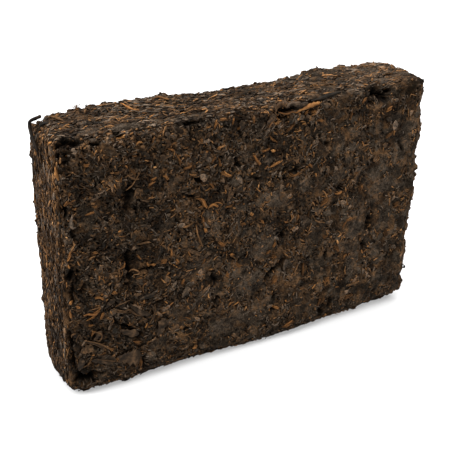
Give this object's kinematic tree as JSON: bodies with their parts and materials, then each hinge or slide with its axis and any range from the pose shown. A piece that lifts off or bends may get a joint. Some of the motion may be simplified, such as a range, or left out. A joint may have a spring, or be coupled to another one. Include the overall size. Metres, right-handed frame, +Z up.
{
  "type": "pu erh tea brick",
  "caption": "Rectangular brick of pressed dark fermented tea leaf with rounded, crumbly, uneven edges, standing on its long narrow side.",
  "frame": {"origin": "middle of the flat underside, at the bottom centre of the brick's box", "axes": "+X along the brick's length, +Y through its thickness, +Z up, with the brick standing on its long narrow side"},
  "size_m": [0.1412, 0.0288, 0.0938],
  "materials": {
    "pressed_leaf": "dry matt packed leaf, near black to mid brown, with dark crevices between the fragments",
    "black_leaf": "thin twisted and flat leaf, bluish black to dark brown, with a faint dry sheen",
    "brown_leaf": "dull mid brown leaf and stalk with fine lengthwise fibres",
    "golden_bud": "dull orange-brown to golden buds and tips, slightly downy"
  },
  "bodies": {
    "root": {"tea_brick": "pressed_leaf"}
  },
  "joints": []
}
